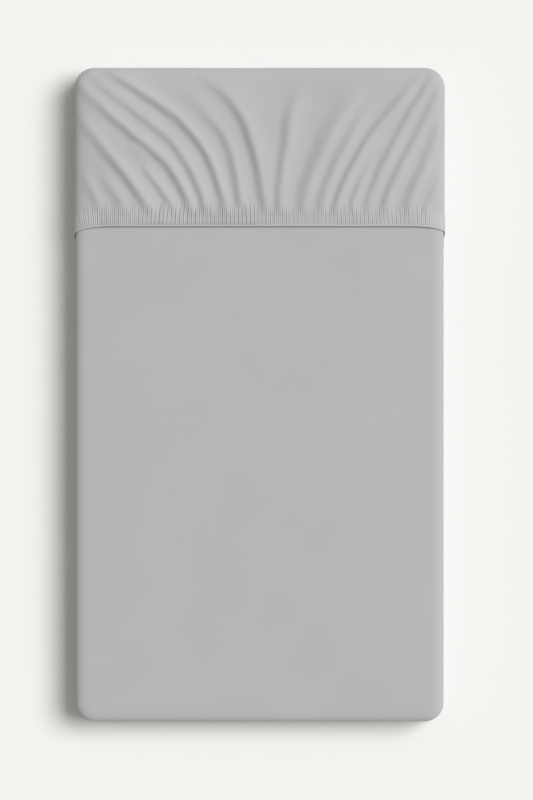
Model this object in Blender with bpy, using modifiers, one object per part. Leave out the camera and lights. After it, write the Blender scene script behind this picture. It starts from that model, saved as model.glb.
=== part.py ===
"""Fitted sheet on a small cot mattress that lies on its sleeping side.

Metres, +Z up. X runs across the mattress and +Y towards its head, and the origin is the middle of
the underside. The sheet's main panel lies under the mattress and its skirt stands up round the
sides. At the head the cloth turns over the edge and lies on the upper face as a pocket, drawn in by
its gathered hem, with folds that run from the hem out to the two corners.
"""
import math
from collections import namedtuple

import bmesh
import bpy
import numpy as np
from mathutils import Vector

# Outside of the dressed mattress
WIDTH = 0.500
LENGTH = 0.888
HEIGHT = 0.0594
CORNER_RADIUS = 0.027
EDGE_RADIUS = 0.016
CORNER_STEPS = 6
EDGE_STEPS = 5

# Cloth, its turned hem, and the air between cloth and mattress
CLOTH = 0.0015
HEM_CLOTH = 0.0022
HEM_DEPTH = 0.020
SIDE_GAP = 0.0020
TOP_GAP = 0.0010
UNDER_GAP = 0.0004

# Line of the hem: across the upper face, over the side edges, down to the skirt and round the foot
HEM_Y = 0.228
HEM_LEAN = 0.65
SKIRT_HEIGHT = 0.030
TURN_LENGTH = 0.028
TURN_RISE = 0.0096
POCKET_EASE = 0.0012
HEAD_EASE = HEM_CLOTH - CLOTH
HEAD_EASE_LENGTH = 0.060

# Spacing of the rows that carry the folds
ROW_ACROSS = 0.0072
ROW_ALONG = 0.0085

# Folds of the pocket. Each row is a fold's steep side, from its far end by a bend to the hem, and
# its crest stands above the cloth beside it on the +X side of that line.
Fold = namedtuple("Fold", "far_x far_y bend_x bend_y hem_x hem_y crest")
FOLDS = (
    Fold(-0.237, 0.286, -0.230, 0.270, -0.218, 0.250, 0.0010),
    Fold(-0.213, 0.292, -0.201, 0.276, -0.189, 0.256, 0.0014),
    Fold(-0.243, 0.371, -0.203, 0.317, -0.157, 0.256, 0.0032),
    Fold(-0.154, 0.304, -0.140, 0.284, -0.124, 0.258, 0.0022),
    Fold(-0.240, 0.411, -0.146, 0.342, -0.100, 0.256, 0.0036),
    Fold(-0.216, 0.418, -0.113, 0.354, -0.078, 0.256, 0.0026),
    Fold(-0.197, 0.428, -0.076, 0.382, -0.051, 0.256, 0.0042),
    Fold(-0.090, 0.392, -0.033, 0.353, -0.029, 0.256, 0.0022),
    Fold(-0.076, 0.428, -0.009, 0.390, 0.006, 0.256, 0.0038),
    Fold(0.040, 0.404, 0.032, 0.359, 0.020, 0.256, 0.0028),
    Fold(0.108, 0.401, 0.071, 0.341, 0.054, 0.256, 0.0026),
    Fold(0.150, 0.418, 0.104, 0.347, 0.079, 0.256, 0.0022),
    Fold(0.205, 0.425, 0.134, 0.358, 0.100, 0.256, 0.0030),
    Fold(0.146, 0.312, 0.134, 0.288, 0.120, 0.256, 0.0018),
    Fold(0.228, 0.427, 0.184, 0.357, 0.141, 0.256, 0.0030),
    Fold(0.240, 0.416, 0.208, 0.356, 0.165, 0.256, 0.0026),
    Fold(0.240, 0.366, 0.222, 0.316, 0.198, 0.258, 0.0018),
    Fold(0.241, 0.300, 0.232, 0.280, 0.219, 0.256, 0.0012),
)
FOLD_STEEP = 0.010
FOLD_GENTLE = 0.022
FOLD_FADE = 0.20
FOLD_SAMPLES = 24

SHEET_COLOUR = (0.468, 0.468, 0.465)
MATTRESS_COLOUR = (0.462, 0.462, 0.460)
CLOTH_ROUGHNESS = 0.9

TINY = 1e-6


def clear_scene():
    for old in list(bpy.data.objects):
        bpy.data.objects.remove(old, do_unlink=True)


def make_collection(name):
    collection = bpy.data.collections.new(name)
    bpy.context.scene.collection.children.link(collection)
    return collection


def make_material(name, colour):
    material = bpy.data.materials.new(name)
    material.use_nodes = True
    shader = material.node_tree.nodes["Principled BSDF"]
    shader.inputs["Base Color"].default_value = (*colour, 1.0)
    shader.inputs["Roughness"].default_value = CLOTH_ROUGHNESS
    shader.inputs["Metallic"].default_value = 0.0
    return material


def make_object(name, bm, material, collection):
    """Turn a bmesh into a named object with its material."""
    mesh = bpy.data.meshes.new(name)
    bm.to_mesh(mesh)
    bm.free()
    mesh.materials.append(material)
    thing = bpy.data.objects.new(name, mesh)
    collection.objects.link(thing)
    return thing


def rounded_box(width, length, low, high, corner_radius, edge_radius):
    """Box from low to high, with upright corners and then both rims rounded."""
    bm = bmesh.new()
    bmesh.ops.create_cube(bm, size=1.0)
    bmesh.ops.scale(bm, vec=(width, length, high - low), verts=bm.verts)
    bmesh.ops.translate(bm, vec=(0.0, 0.0, (low + high) / 2), verts=bm.verts)
    corners = [e for e in bm.edges if abs(e.verts[0].co.z - e.verts[1].co.z) > TINY]
    bmesh.ops.bevel(bm, geom=corners, offset=corner_radius, segments=CORNER_STEPS, profile=0.5,
                    affect="EDGES", clamp_overlap=True)
    rims = [e for e in bm.edges if abs(e.verts[0].co.z - e.verts[1].co.z) < TINY]
    bmesh.ops.bevel(bm, geom=rims, offset=edge_radius, segments=EDGE_STEPS, profile=0.5,
                    affect="EDGES", clamp_overlap=True)
    return bm


def cut(bm, point, normal, wanted):
    """Cut the wanted faces along a plane, leaving both sides."""
    faces = [f for f in bm.faces if wanted(f.calc_center_median())]
    edges = {e for f in faces for e in f.edges}
    verts = {v for f in faces for v in f.verts}
    bmesh.ops.bisect_plane(bm, geom=[*faces, *edges, *verts], dist=TINY,
                           plane_co=point, plane_no=normal)


def open_upper_face(bm, low, high):
    """Cut away the cloth inside the hem: the upper face and walls footward of it."""
    hem_plane = (Vector((0.0, HEM_Y, high)), Vector((0.0, -1.0, HEM_LEAN)).normalized())
    skirt_plane = (Vector((0.0, 0.0, SKIRT_HEIGHT)), Vector((0.0, 0.0, 1.0)))
    turn_start = HEM_Y - HEM_LEAN * (high - SKIRT_HEIGHT) - TURN_LENGTH
    turn_plane = (Vector((0.0, turn_start, SKIRT_HEIGHT)),
                  Vector((0.0, -TURN_RISE, TURN_LENGTH)).normalized())
    planes = (hem_plane, skirt_plane, turn_plane)

    def above_panel(centre):
        return centre.z > low + TINY

    for point, normal in planes:
        cut(bm, point, normal, above_panel)

    def inside_hem(centre):
        return all((centre - point).dot(normal) > 0.0 for point, normal in planes)

    opening = [f for f in bm.faces if inside_hem(f.calc_center_median())]
    bmesh.ops.delete(bm, geom=opening, context="FACES")


def add_rows(bm, low, high, half_width, half_length):
    """Cut the rows of the pocket, the edge of the turned hem and the ends of the side easing."""
    flat_width = half_width - EDGE_RADIUS
    flat_end = half_length - EDGE_RADIUS

    def on_pocket(centre):
        return centre.y > HEM_Y - HEM_DEPTH and centre.z > high - EDGE_RADIUS

    across = math.ceil(2 * flat_width / ROW_ACROSS)
    for i in range(across + 1):
        x = -flat_width + 2 * flat_width * i / across
        cut(bm, Vector((x, 0.0, 0.0)), Vector((1.0, 0.0, 0.0)), on_pocket)
    first = HEM_Y + HEM_DEPTH
    along = math.ceil((flat_end - first) / ROW_ALONG)
    for i in range(along + 1):
        y = first + (flat_end - first) * i / along
        cut(bm, Vector((0.0, y, 0.0)), Vector((0.0, 1.0, 0.0)), on_pocket)
    middle = HEM_Y + HEM_DEPTH / 2
    cut(bm, Vector((0.0, middle, 0.0)), Vector((0.0, 1.0, 0.0)), on_pocket)

    def on_wall(centre):
        return centre.z > low + TINY

    for y in (HEM_Y - TURN_LENGTH, HEM_Y):
        cut(bm, Vector((0.0, y, 0.0)), Vector((0.0, 1.0, 0.0)), on_wall)

    def under_skirt_hem(centre):
        return low + TINY < centre.z < SKIRT_HEIGHT and centre.y < HEM_Y

    casing_foot = Vector((0.0, 0.0, SKIRT_HEIGHT - HEM_DEPTH))
    cut(bm, casing_foot, Vector((0.0, 0.0, 1.0)), under_skirt_hem)


def smooth_step(t):
    t = np.clip(t, 0.0, 1.0)
    return t * t * (3.0 - 2.0 * t)


def fold_height(fold, x, y):
    """Height that one fold adds at points x, y: a steep side, then a gentle one towards +X."""
    t = np.linspace(0.0, 1.0, FOLD_SAMPLES)
    line_x = (1 - t) ** 2 * fold.far_x + 2 * t * (1 - t) * fold.bend_x + t ** 2 * fold.hem_x
    line_y = (1 - t) ** 2 * fold.far_y + 2 * t * (1 - t) * fold.bend_y + t ** 2 * fold.hem_y
    away = np.hypot(x[:, None] - line_x, y[:, None] - line_y)
    nearest = away.argmin(axis=1)
    run_x = np.gradient(line_x)[nearest]
    run_y = np.gradient(line_y)[nearest]
    off_x = x - line_x[nearest]
    off_y = y - line_y[nearest]
    side = np.sign(off_y * run_x - off_x * run_y)
    across = side * away.min(axis=1)
    rise = smooth_step(across / FOLD_STEEP + 0.5)
    fall = 1.0 - smooth_step((across - FOLD_STEEP / 2) / FOLD_GENTLE)
    grow = smooth_step(t[nearest] / FOLD_FADE)
    return fold.crest * rise * fall * grow


def raise_folds(bm, high):
    """Lift the pocket's cloth where its folds run, fading over the rounded edge."""
    verts = [v for v in bm.verts if v.co.z > high - EDGE_RADIUS and v.co.y > HEM_Y - HEM_DEPTH]
    x = np.array([v.co.x for v in verts])
    y = np.array([v.co.y for v in verts])
    z = np.array([v.co.z for v in verts])
    lift = np.max([fold_height(fold, x, y) for fold in FOLDS], axis=0)
    lift *= smooth_step((z - high + EDGE_RADIUS) / EDGE_RADIUS)
    lift *= smooth_step((y - HEM_Y) / HEM_DEPTH)
    for vert, up in zip(verts, lift):
        vert.co.z += up


def ease_pocket(bm, half_width, half_length):
    """Stand the pocket a little off the mattress at its sides and at the head."""
    for vert in bm.verts:
        sideways = smooth_step((vert.co.y - HEM_Y + TURN_LENGTH) / TURN_LENGTH)
        headways = smooth_step(1.0 - (half_length - vert.co.y) / HEAD_EASE_LENGTH)
        vert.co.x *= 1.0 + sideways * POCKET_EASE / half_width
        vert.co.y += headways * HEAD_EASE


def casing_verts(bm, high):
    """Indices of the vertices on the hem line, where the cloth is turned and doubled."""
    bm.verts.index_update()
    on_hem = {v.index for v in bm.verts if v.is_boundary}
    beside = {v.index for v in bm.verts
              if high - EDGE_RADIUS < v.co.z and v.co.y < HEM_Y + HEM_DEPTH * 0.75}
    return sorted(on_hem | beside)


def build_sheet(collection, material):
    """Inner face of the cloth as one open surface, given its thickness outward."""
    low = CLOTH
    high = HEIGHT - CLOTH
    half_width = WIDTH / 2 - CLOTH
    half_length = LENGTH / 2 - CLOTH
    bm = rounded_box(2 * half_width, 2 * half_length, low, high,
                     CORNER_RADIUS - CLOTH, EDGE_RADIUS - CLOTH)
    open_upper_face(bm, low, high)
    add_rows(bm, low, high, half_width, half_length)
    raise_folds(bm, high)
    ease_pocket(bm, half_width, half_length)
    doubled = casing_verts(bm, high)
    sheet = make_object("fitted_sheet", bm, material, collection)
    casing = sheet.vertex_groups.new(name="casing")
    casing.add(doubled, 1.0, "REPLACE")
    solid = sheet.modifiers.new("Thickness", "SOLIDIFY")
    solid.thickness = HEM_CLOTH
    solid.offset = 1.0
    solid.use_even_offset = True
    solid.vertex_group = casing.name
    solid.thickness_vertex_group = CLOTH / HEM_CLOTH
    return sheet


def build_mattress(collection, material):
    width = WIDTH - 2 * (CLOTH + SIDE_GAP)
    length = LENGTH - 2 * (CLOTH + SIDE_GAP)
    low = CLOTH + UNDER_GAP
    high = HEIGHT - CLOTH - TOP_GAP
    bm = rounded_box(width, length, low, high, CORNER_RADIUS - SIDE_GAP, EDGE_RADIUS)
    return make_object("mattress", bm, material, collection)


def main():
    clear_scene()
    collection = make_collection("fitted_sheet_on_mattress")
    build_sheet(collection, make_material("grey_jersey", SHEET_COLOUR))
    build_mattress(collection, make_material("grey_mattress_cover", MATTRESS_COLOUR))


main()
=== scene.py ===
# %% [markdown]
# # A fitted sheet drawn over the head end of a cot mattress
# The real thing is one panel of knitted cotton, gathered round its edge by elastic. Here the
# mattress lies on its sleeping side: the panel is under it, the skirt comes part of the way up the
# walls, and at the head the cloth turns over the edge and lies on the upper face as a pocket. The
# elastic pulls that pocket into folds that run out to the two corners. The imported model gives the
# sizes, and this script adds the cloth that a camera sees.

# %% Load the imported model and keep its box
import math
from collections import namedtuple

import bmesh
import bpy
import numpy as np
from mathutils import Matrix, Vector


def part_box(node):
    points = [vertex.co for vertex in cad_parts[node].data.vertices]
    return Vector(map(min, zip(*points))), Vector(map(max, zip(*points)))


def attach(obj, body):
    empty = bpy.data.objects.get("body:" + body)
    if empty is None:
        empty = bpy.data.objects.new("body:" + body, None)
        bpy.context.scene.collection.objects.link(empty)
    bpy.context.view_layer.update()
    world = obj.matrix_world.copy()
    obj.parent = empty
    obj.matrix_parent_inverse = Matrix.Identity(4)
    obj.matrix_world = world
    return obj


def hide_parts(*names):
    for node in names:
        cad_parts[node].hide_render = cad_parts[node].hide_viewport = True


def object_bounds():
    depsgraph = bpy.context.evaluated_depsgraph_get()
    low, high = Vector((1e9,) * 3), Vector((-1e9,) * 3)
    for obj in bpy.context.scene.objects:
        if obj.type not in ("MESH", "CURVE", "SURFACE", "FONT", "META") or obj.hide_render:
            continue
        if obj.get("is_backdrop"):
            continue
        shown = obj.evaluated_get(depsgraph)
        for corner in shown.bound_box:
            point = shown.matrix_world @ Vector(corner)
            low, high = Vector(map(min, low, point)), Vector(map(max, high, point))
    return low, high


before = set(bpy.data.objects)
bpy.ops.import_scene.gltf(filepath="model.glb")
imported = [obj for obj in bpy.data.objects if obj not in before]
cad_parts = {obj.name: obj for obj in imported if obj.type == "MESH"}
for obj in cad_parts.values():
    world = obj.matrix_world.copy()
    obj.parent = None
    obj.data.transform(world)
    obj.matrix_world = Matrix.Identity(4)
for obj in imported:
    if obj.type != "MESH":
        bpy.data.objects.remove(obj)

cad_low, cad_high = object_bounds()
sheet_low, sheet_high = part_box("fitted_sheet")
MM = 0.001


def show(what, lengths):
    """Print a length in metres, or several, as millimetres."""
    print(what + ", mm:", np.round(np.array(lengths) / MM, 2).tolist())


show("packed model", cad_high - cad_low)

# %% [markdown]
# ## The slab that cloth and mattress share
# Both are the same rounded slab, one just inside the other. It could be a box with a bevel, but the
# cloth needs many points at its gathers and few elsewhere. So the slab is a formula: a distance
# round its outline and a distance up its wall give a point and the way that point faces. A lift
# along that direction then makes the hem, the folds and the mattress.

# %% Sizes of the slab, in metres
CLOTH = 0.7 * MM  # how thick the sheet is
AIR = 0.6 * MM  # between the sheet and the mattress
HEAD_EASE = 1.5 * MM  # room for the folds that come over the head edge
HALF_WIDTH = sheet_high.x - CLOTH
HEAD_Y = sheet_high.y - HEAD_EASE
FOOT_Y = sheet_low.y - CLOTH - AIR
HALF_LENGTH = (HEAD_Y - FOOT_Y) / 2
MIDDLE_Y = (HEAD_Y + FOOT_Y) / 2
TOP = 58.8 * MM
CORNER_RADIUS = 27 * MM
show("slab", [2 * HALF_WIDTH, 2 * HALF_LENGTH, TOP])

# %% [markdown]
# ### The foam's edge
# A foam slab in a tight cover isn't rounded by one radius. It turns quickly at the wall and then
# eases into the flat face over an inch or so. A circle would look like moulded plastic, so the lean
# of the surface decays exponentially with the distance from the wall.

# %% Inset of the edge for each lean, from upright to flat
EDGE_WIDTH = 24 * MM
EDGE_EASE = 7.5 * MM
EDGE_STEPS = 500
LEFT_OVER = math.exp(-EDGE_WIDTH / EDGE_EASE)  # what the decay would leave at the flat face
edge_lean = np.linspace(math.pi / 2, 0.0, EDGE_STEPS)
edge_spread = np.sin(edge_lean) * (1 - LEFT_OVER) + LEFT_OVER
edge_inset = -EDGE_EASE * np.log(edge_spread)
show("edge reaches in", edge_inset[-1])


# %% Length and height along the edge
def running_sum(rate, step):
    """Add up a rate along a curve, starting from nothing."""
    return np.concatenate([[0.0], np.cumsum((rate[1:] + rate[:-1]) / 2) * step])


length_rate = EDGE_EASE * (1 - LEFT_OVER) / edge_spread
lean_step = edge_lean[0] - edge_lean[1]
edge_length = running_sum(length_rate, lean_step)
edge_gain = running_sum(length_rate * np.sin(edge_lean), lean_step)
ARC, EDGE_DROP = edge_length[-1], edge_gain[-1]
WALL = TOP - 2 * EDGE_DROP
RISE = 2 * ARC + WALL
FLAT_X, FLAT_Y = HALF_WIDTH - EDGE_WIDTH, HALF_LENGTH - EDGE_WIDTH
MIDDLE_UP = RISE + FLAT_X
show("drop of the edge and straight wall", [EDGE_DROP, WALL])


# %% Points on the wall: how far in, how high, and which way they face
def smooth_step(t):
    """Ease from 0 to 1 as t goes from 0 to 1."""
    t = np.clip(t, 0.0, 1.0)
    return t * t * (3.0 - 2.0 * t)


def section(up):
    """Inset, height, outward and upward lean of the wall, a distance up from the underside."""
    low = np.clip(ARC - up, 0, ARC)
    high = np.clip(up - ARC - WALL, 0, ARC)
    lean = np.interp(low + high, edge_length, edge_lean)
    past_edge = np.maximum(-up, 0) + np.maximum(up - RISE, 0)
    inset = np.interp(low + high, edge_length, edge_inset) + past_edge
    height = (EDGE_DROP + np.clip(up - ARC, 0, WALL)
              - np.interp(low, edge_length, edge_gain) + np.interp(high, edge_length, edge_gain))
    return inset, height, np.sin(lean), np.cos(lean) * np.sign(high - low)


show("inset and height halfway up the wall", section(RISE / 2)[:2])

# %% [markdown]
# ### The outline
# Seen from above, the slab is a rectangle with rounded corners. A place on it is given by the
# distance round from the middle of the foot, so that evenly spaced gathers stay even at corners.

# %% The outline, as a distance round from the middle of the foot
FOOT_RUN = HALF_WIDTH - CORNER_RADIUS
CORNER_RUN = CORNER_RADIUS * math.pi / 2
SIDE_RUN = 2 * (HALF_LENGTH - CORNER_RADIUS)
HALF_ROUND = 2 * FOOT_RUN + 2 * CORNER_RUN + SIDE_RUN


def outline(run):
    """Point and outward direction in plan for the -X half."""
    turn = np.clip((run - FOOT_RUN) / CORNER_RADIUS, 0, np.pi / 2)
    turn = turn + np.clip((run - FOOT_RUN - CORNER_RUN - SIDE_RUN) / CORNER_RADIUS, 0, np.pi / 2)
    out_x, out_y = -np.sin(turn), -np.cos(turn)
    x = np.clip(run - HALF_ROUND + FOOT_RUN, 0, FOOT_RUN) - np.clip(run, 0, FOOT_RUN)
    y = np.clip(run - FOOT_RUN - CORNER_RUN, 0, SIDE_RUN) - SIDE_RUN / 2 + MIDDLE_Y
    return x + CORNER_RADIUS * out_x, y + CORNER_RADIUS * out_y, out_x, out_y


def run_at(y):
    """Distance round to a place on the long side."""
    return FOOT_RUN + CORNER_RUN + (y - MIDDLE_Y + SIDE_RUN / 2)


show("half of the outline", HALF_ROUND)

# %% [markdown]
# ### Crown and waist
# A foam face rises a little towards its middle. Below the hem the elastic pulls the walls in by a
# few millimetres, and the foam above it bulges back out. Sheet and mattress share both shapes, so
# the mattress can't poke through. Only under the pocket does the sheet span the waist.

# %% Crown of the face
CROWN = 2.2 * MM
CROWN_POWER = 4


def crown(x, y):
    """Rise of the upper face: nearly all of it is level, and it falls only near the edge."""
    across = 1 - np.clip(np.abs(x) / FLAT_X, 0, 1) ** CROWN_POWER
    along = 1 - np.clip(np.abs(y - MIDDLE_Y) / FLAT_Y, 0, 1) ** CROWN_POWER
    return CROWN * across * along


show("crown at the middle", crown(0.0, MIDDLE_Y))

# %% Waist of the walls
WAIST = 5.0 * MM
WAIST_TOP, WAIST_LOW, WAIST_FOOT = 43 * MM, 33 * MM, 12 * MM
GRIP_START, GRIP_END = 0.234, 0.190


def waist(height):
    """How far the elastic pulls the wall in at a height."""
    upper = smooth_step((WAIST_TOP - height) / (WAIST_TOP - WAIST_LOW))
    return WAIST * upper * smooth_step(height / WAIST_FOOT)


def sheet_waist(run, up):
    """The sheet follows the waist along the skirt, but spans it under the pocket."""
    y = outline(run)[1]
    return waist(section(up)[1]) * smooth_step((GRIP_START - y) / (GRIP_START - GRIP_END))


show("waist halfway up", waist(TOP / 2))


# %% Points on the slab, and the same points laid flat
def slab_point(side, run, up, lift=0.0, squeeze=0.0):
    """Points for side -1 or +1, moved out by lift and in by squeeze."""
    side, run, up, lift, squeeze = np.broadcast_arrays(side, run, up, lift, squeeze)
    x, y, out_x, out_y = outline(run)
    inset, height, out, lean = section(up)
    x = x - out_x * (inset + squeeze)
    y = y - out_y * (inset + squeeze)
    height = height + np.where(up > RISE, crown(x, y), 0.0)
    place = np.stack([x + out_x * out * lift, y + out_y * out * lift, height + lean * lift], -1)
    place[..., 0] *= -side
    return place


def unrolled(side, run, up):
    """The cloth laid flat, as if the upper face went on outwards past its edge."""
    x, y, out_x, out_y = outline(run)
    beyond = RISE - up - EDGE_WIDTH
    return (x + out_x * beyond) * -side, y + out_y * beyond


show("corner of the pocket", slab_point(1, run_at(HEAD_Y - CORNER_RADIUS), RISE))

# %% [markdown]
# ## A mesh made of patches
# The gathers are 5 mm wide and the panel under the mattress is plain, so one grid can't serve both.
# Each region gets a grid of its own spacing. A narrow strip is left between two grids, and
# zip_edges closes it with triangles, the way a zip joins two tapes.

# %% Grids of points
Patchwork = namedtuple("Patchwork", "places flat faces")


def add_grid(work, places, flat):
    """Add a grid of points, with their places on the flat cloth, and its faces."""
    rows, columns = places.shape[:2]
    ids = np.arange(rows * columns).reshape(rows, columns) + len(work.places)
    work.places.extend(places.reshape(-1, 3).tolist())
    work.flat.extend(np.stack(flat, -1).reshape(-1, 2).tolist())
    corners = np.stack([ids[:-1, :-1], ids[:-1, 1:], ids[1:, 1:], ids[1:, :-1]], -1)
    work.faces.extend(corners.reshape(-1, 4).tolist())
    return ids


def close_ring(work, ids):
    """Join the last column of a grid to its first."""
    last, first = ids[:, -1], ids[:, 0]
    work.faces.extend(np.stack([last[:-1], first[:-1], first[1:], last[1:]], -1).tolist())


trial = Patchwork([], [], [])
trial_ids = add_grid(trial, np.zeros((2, 4, 3)), np.zeros((2, 2, 4)))
print("a trial grid of 2 x 4 points has", len(trial.faces), "faces")


# %% Zipping two rows of points together
def zip_edges(work, left, right):
    """Fill the strip between two rows of points, always taking the shorter next rung."""
    i, j = 0, 0
    while i < len(left) - 1 or j < len(right) - 1:
        go_left = j == len(right) - 1
        if i < len(left) - 1 and not go_left:
            rung_left = math.dist(work.places[left[i + 1]], work.places[right[j]])
            rung_right = math.dist(work.places[left[i]], work.places[right[j + 1]])
            go_left = rung_left < rung_right
        if go_left:
            work.faces.append((left[i], right[j], left[i + 1]))
            i += 1
        else:
            work.faces.append((left[i], right[j], right[j + 1]))
            j += 1


def zip_round(work, grid, ring):
    """Zip a flat grid to the closed ring of points round it."""
    loop = np.concatenate([grid[0, ::-1], grid[1:, 0], grid[-1, 1:], grid[-2:0:-1, -1]])
    places = np.array(work.places)
    start = np.argmin(np.linalg.norm(places[loop] - places[ring[0]], axis=1))
    loop = np.roll(loop, -start)
    zip_edges(work, np.append(loop, loop[0]), np.append(ring, ring[0]))


zip_edges(trial, trial_ids[0], trial_ids[1])
print("after one zip the trial has", len(trial.faces), "faces")


# %% From patches to an object
def put_in_scene(name, data):
    """Make the object for a mesh, a lamp or a camera, and put it in the scene."""
    thing = bpy.data.objects.new(name, data)
    bpy.context.scene.collection.objects.link(thing)
    return thing


def sew_up(work, name):
    """Make the mesh: all faces point out, and the UV map is the cloth laid flat, in metres."""
    mesh = bpy.data.meshes.new(name)
    mesh.from_pydata(work.places, [], [list(map(int, face)) for face in work.faces])
    corner_points = np.empty(len(mesh.loops), dtype=np.int32)
    mesh.loops.foreach_get("vertex_index", corner_points)
    cloth_map = mesh.uv_layers.new(name="cloth")
    flat_corners = np.array(work.flat, dtype=np.float32)[corner_points]
    cloth_map.uv.foreach_set("vector", flat_corners.ravel())
    bm = bmesh.new()
    bm.from_mesh(mesh)
    bmesh.ops.recalc_face_normals(bm, faces=bm.faces)
    bm.to_mesh(mesh)
    bm.free()
    mesh.shade_smooth()
    print(name, "has", len(mesh.vertices), "points and", len(mesh.polygons), "faces")
    return put_in_scene(name, mesh)


# %% Evenly spaced rows and columns
def spaced(start, end, step):
    """Numbers from start to end, about a step apart."""
    return np.linspace(start, end, max(2, round((end - start) / step) + 1))


def both_sides(left_runs, right_runs):
    """Columns that go up the -X side to the middle of the head and back down the +X side."""
    back = right_runs[..., ::-1][..., 1:]
    runs = np.concatenate([left_runs, back], axis=-1)
    sides = np.concatenate([np.full(left_runs.shape, -1), np.full(back.shape, 1)], axis=-1)
    return runs, sides


print("100 mm in steps of about 30:", spaced(0, 100, 30).round(1))

# %% [markdown]
# ## The line of the hem
# The hem crosses the upper face in one nearly straight line, dips over each long side, and then
# runs level round the rest of the mattress. On the unrolled wall that is a rounded L: a level run,
# one smooth bend, and a straight run to the middle of the upper face.

# %% Trace the hem on the unrolled wall
HEM_Y = 227.0 * MM
HEM_HEIGHT = 30 * MM
HEM_UP = ARC + HEM_HEIGHT - EDGE_DROP
BEND_RISE = 72 * MM
BEND_Y = {-1: 0.183, 1: 0.195}
BEND_STEPS = 240
HEM_STEP = 0.5 * MM


def trace_hem(side):
    """Distance along, distance round, distance up and direction, from the foot to the middle."""
    bend_start, hem_run = run_at(BEND_Y[side]), run_at(HEM_Y)
    level = np.arange(0.0, bend_start, HEM_STEP)
    t = np.linspace(0.0, 1.0, BEND_STEPS)
    bend_run = bend_start + (hem_run - bend_start) * (1 - (1 - t) ** 2)
    straight = np.arange(HEM_UP + BEND_RISE + HEM_STEP, MIDDLE_UP, HEM_STEP)
    run = np.concatenate([level, bend_run, np.full(len(straight), hem_run), [hem_run]])
    bend_up = HEM_UP + BEND_RISE * t ** 2
    up = np.concatenate([np.full(len(level), HEM_UP), bend_up, straight, [MIDDLE_UP]])
    along = np.concatenate([[0.0], np.cumsum(np.hypot(np.diff(run), np.diff(up)))])
    go_run, go_up = np.gradient(run, along), np.gradient(up, along)
    size = np.hypot(go_run, go_up)
    return along, run, up, go_run / size, go_up / size


hem = {side: trace_hem(side) for side in (-1, 1)}
hem_length = {side: hem[side][0][-1] for side in hem}
HEM_LOOP = hem_length[-1] + hem_length[1]
show("hem drawn in", HEM_LOOP)

# %% [markdown]
# ## The gathers
# Elastic is sewn in while stretched, and lets go into small gathers: nearly regular in width,
# because the stitches are, but uneven in depth and length. A wave texture would make them all
# alike. Here each gather has its own width and length from a seeded generator, and its depth and
# dent drift slowly from one to the next. One column of points lies in every valley, so the valleys
# stay sharp.

# %% Width of each gather
GATHER_PITCH = 5.4 * MM
GATHER_SEED = 11
WIDTH_RANGE = (0.92, 1.08)
luck = np.random.default_rng(GATHER_SEED)
gathers = round(HEM_LOOP / GATHER_PITCH)
widths = luck.uniform(*WIDTH_RANGE, gathers)
valley_at = np.concatenate([[0.0], np.cumsum(widths)]) * HEM_LOOP / widths.sum()
print("gathers:", gathers)

# %% Depth, dent and length of each gather, lengths in millimetres
DRIFT_KNOTS = 60
CREST_DRIFT, CREST_SPREAD = (1.1, 2.2), (0.8, 1.2)
DENT_DRIFT, VALLEY_DRIFT, SWAY_DRIFT = (0.0, 0.75), (-0.25, 0.35), (-0.05, 0.05)
REACH_RANGE = (23.0, 34.0)


def slow_change(count, low, high):
    """Random values that drift slowly from one gather to the next."""
    knots = luck.uniform(low, high, DRIFT_KNOTS)
    return np.interp(np.arange(count), np.linspace(0, count, DRIFT_KNOTS), knots)


crest = slow_change(gathers, *CREST_DRIFT) * luck.uniform(*CREST_SPREAD, gathers) * MM
dent = slow_change(gathers, *DENT_DRIFT)
valley = slow_change(gathers + 1, *VALLEY_DRIFT) * MM
reach = luck.uniform(*REACH_RANGE, gathers + 1) * MM
sway = slow_change(gathers + 1, *SWAY_DRIFT)
for values in (valley, reach, sway):
    values[-1] = values[0]
show("mean crest", crest.mean())

# %% Columns of points along the hem, closer together on the pocket than on the skirt
POCKET_REACH = 0.300
POCKET_COLUMNS = (0.0, 0.07, 0.2, 0.4, 0.5, 0.57, 0.72, 0.9)  # shares of one gather's width
SKIRT_COLUMNS = (0.0, 0.3, 0.7)
column_gather, column_share = [], []
for i in range(gathers):
    on_pocket = abs(valley_at[i] - hem_length[-1]) < POCKET_REACH
    for share in POCKET_COLUMNS if on_pocket else SKIRT_COLUMNS:
        column_gather.append(i)
        column_share.append(share)
column_gather, column_share = np.array(column_gather), np.array(column_share)
column_along = valley_at[column_gather] + column_share * np.diff(valley_at)[column_gather]
print("columns along the hem:", len(column_along))

# %% Height of the cloth across one gather
RIB_LEAN, RIB_ROUND = 0.85, 0.7


def per_column(values):
    """Blend a value kept at every valley along the columns between two valleys."""
    return values[column_gather] + np.diff(values)[column_gather] * column_share


def gather_dome():
    """Height of each column above its valley: two ribs with a dent between them."""
    part = (2 * column_share) % 1
    ribs = np.sin(math.pi * part ** RIB_LEAN) ** RIB_ROUND
    middle = (1 - dent[column_gather]) * (1 - np.abs(2 * column_share - 1))
    return crest[column_gather] * np.maximum(ribs, middle)


show("highest gather", gather_dome().max())
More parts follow.
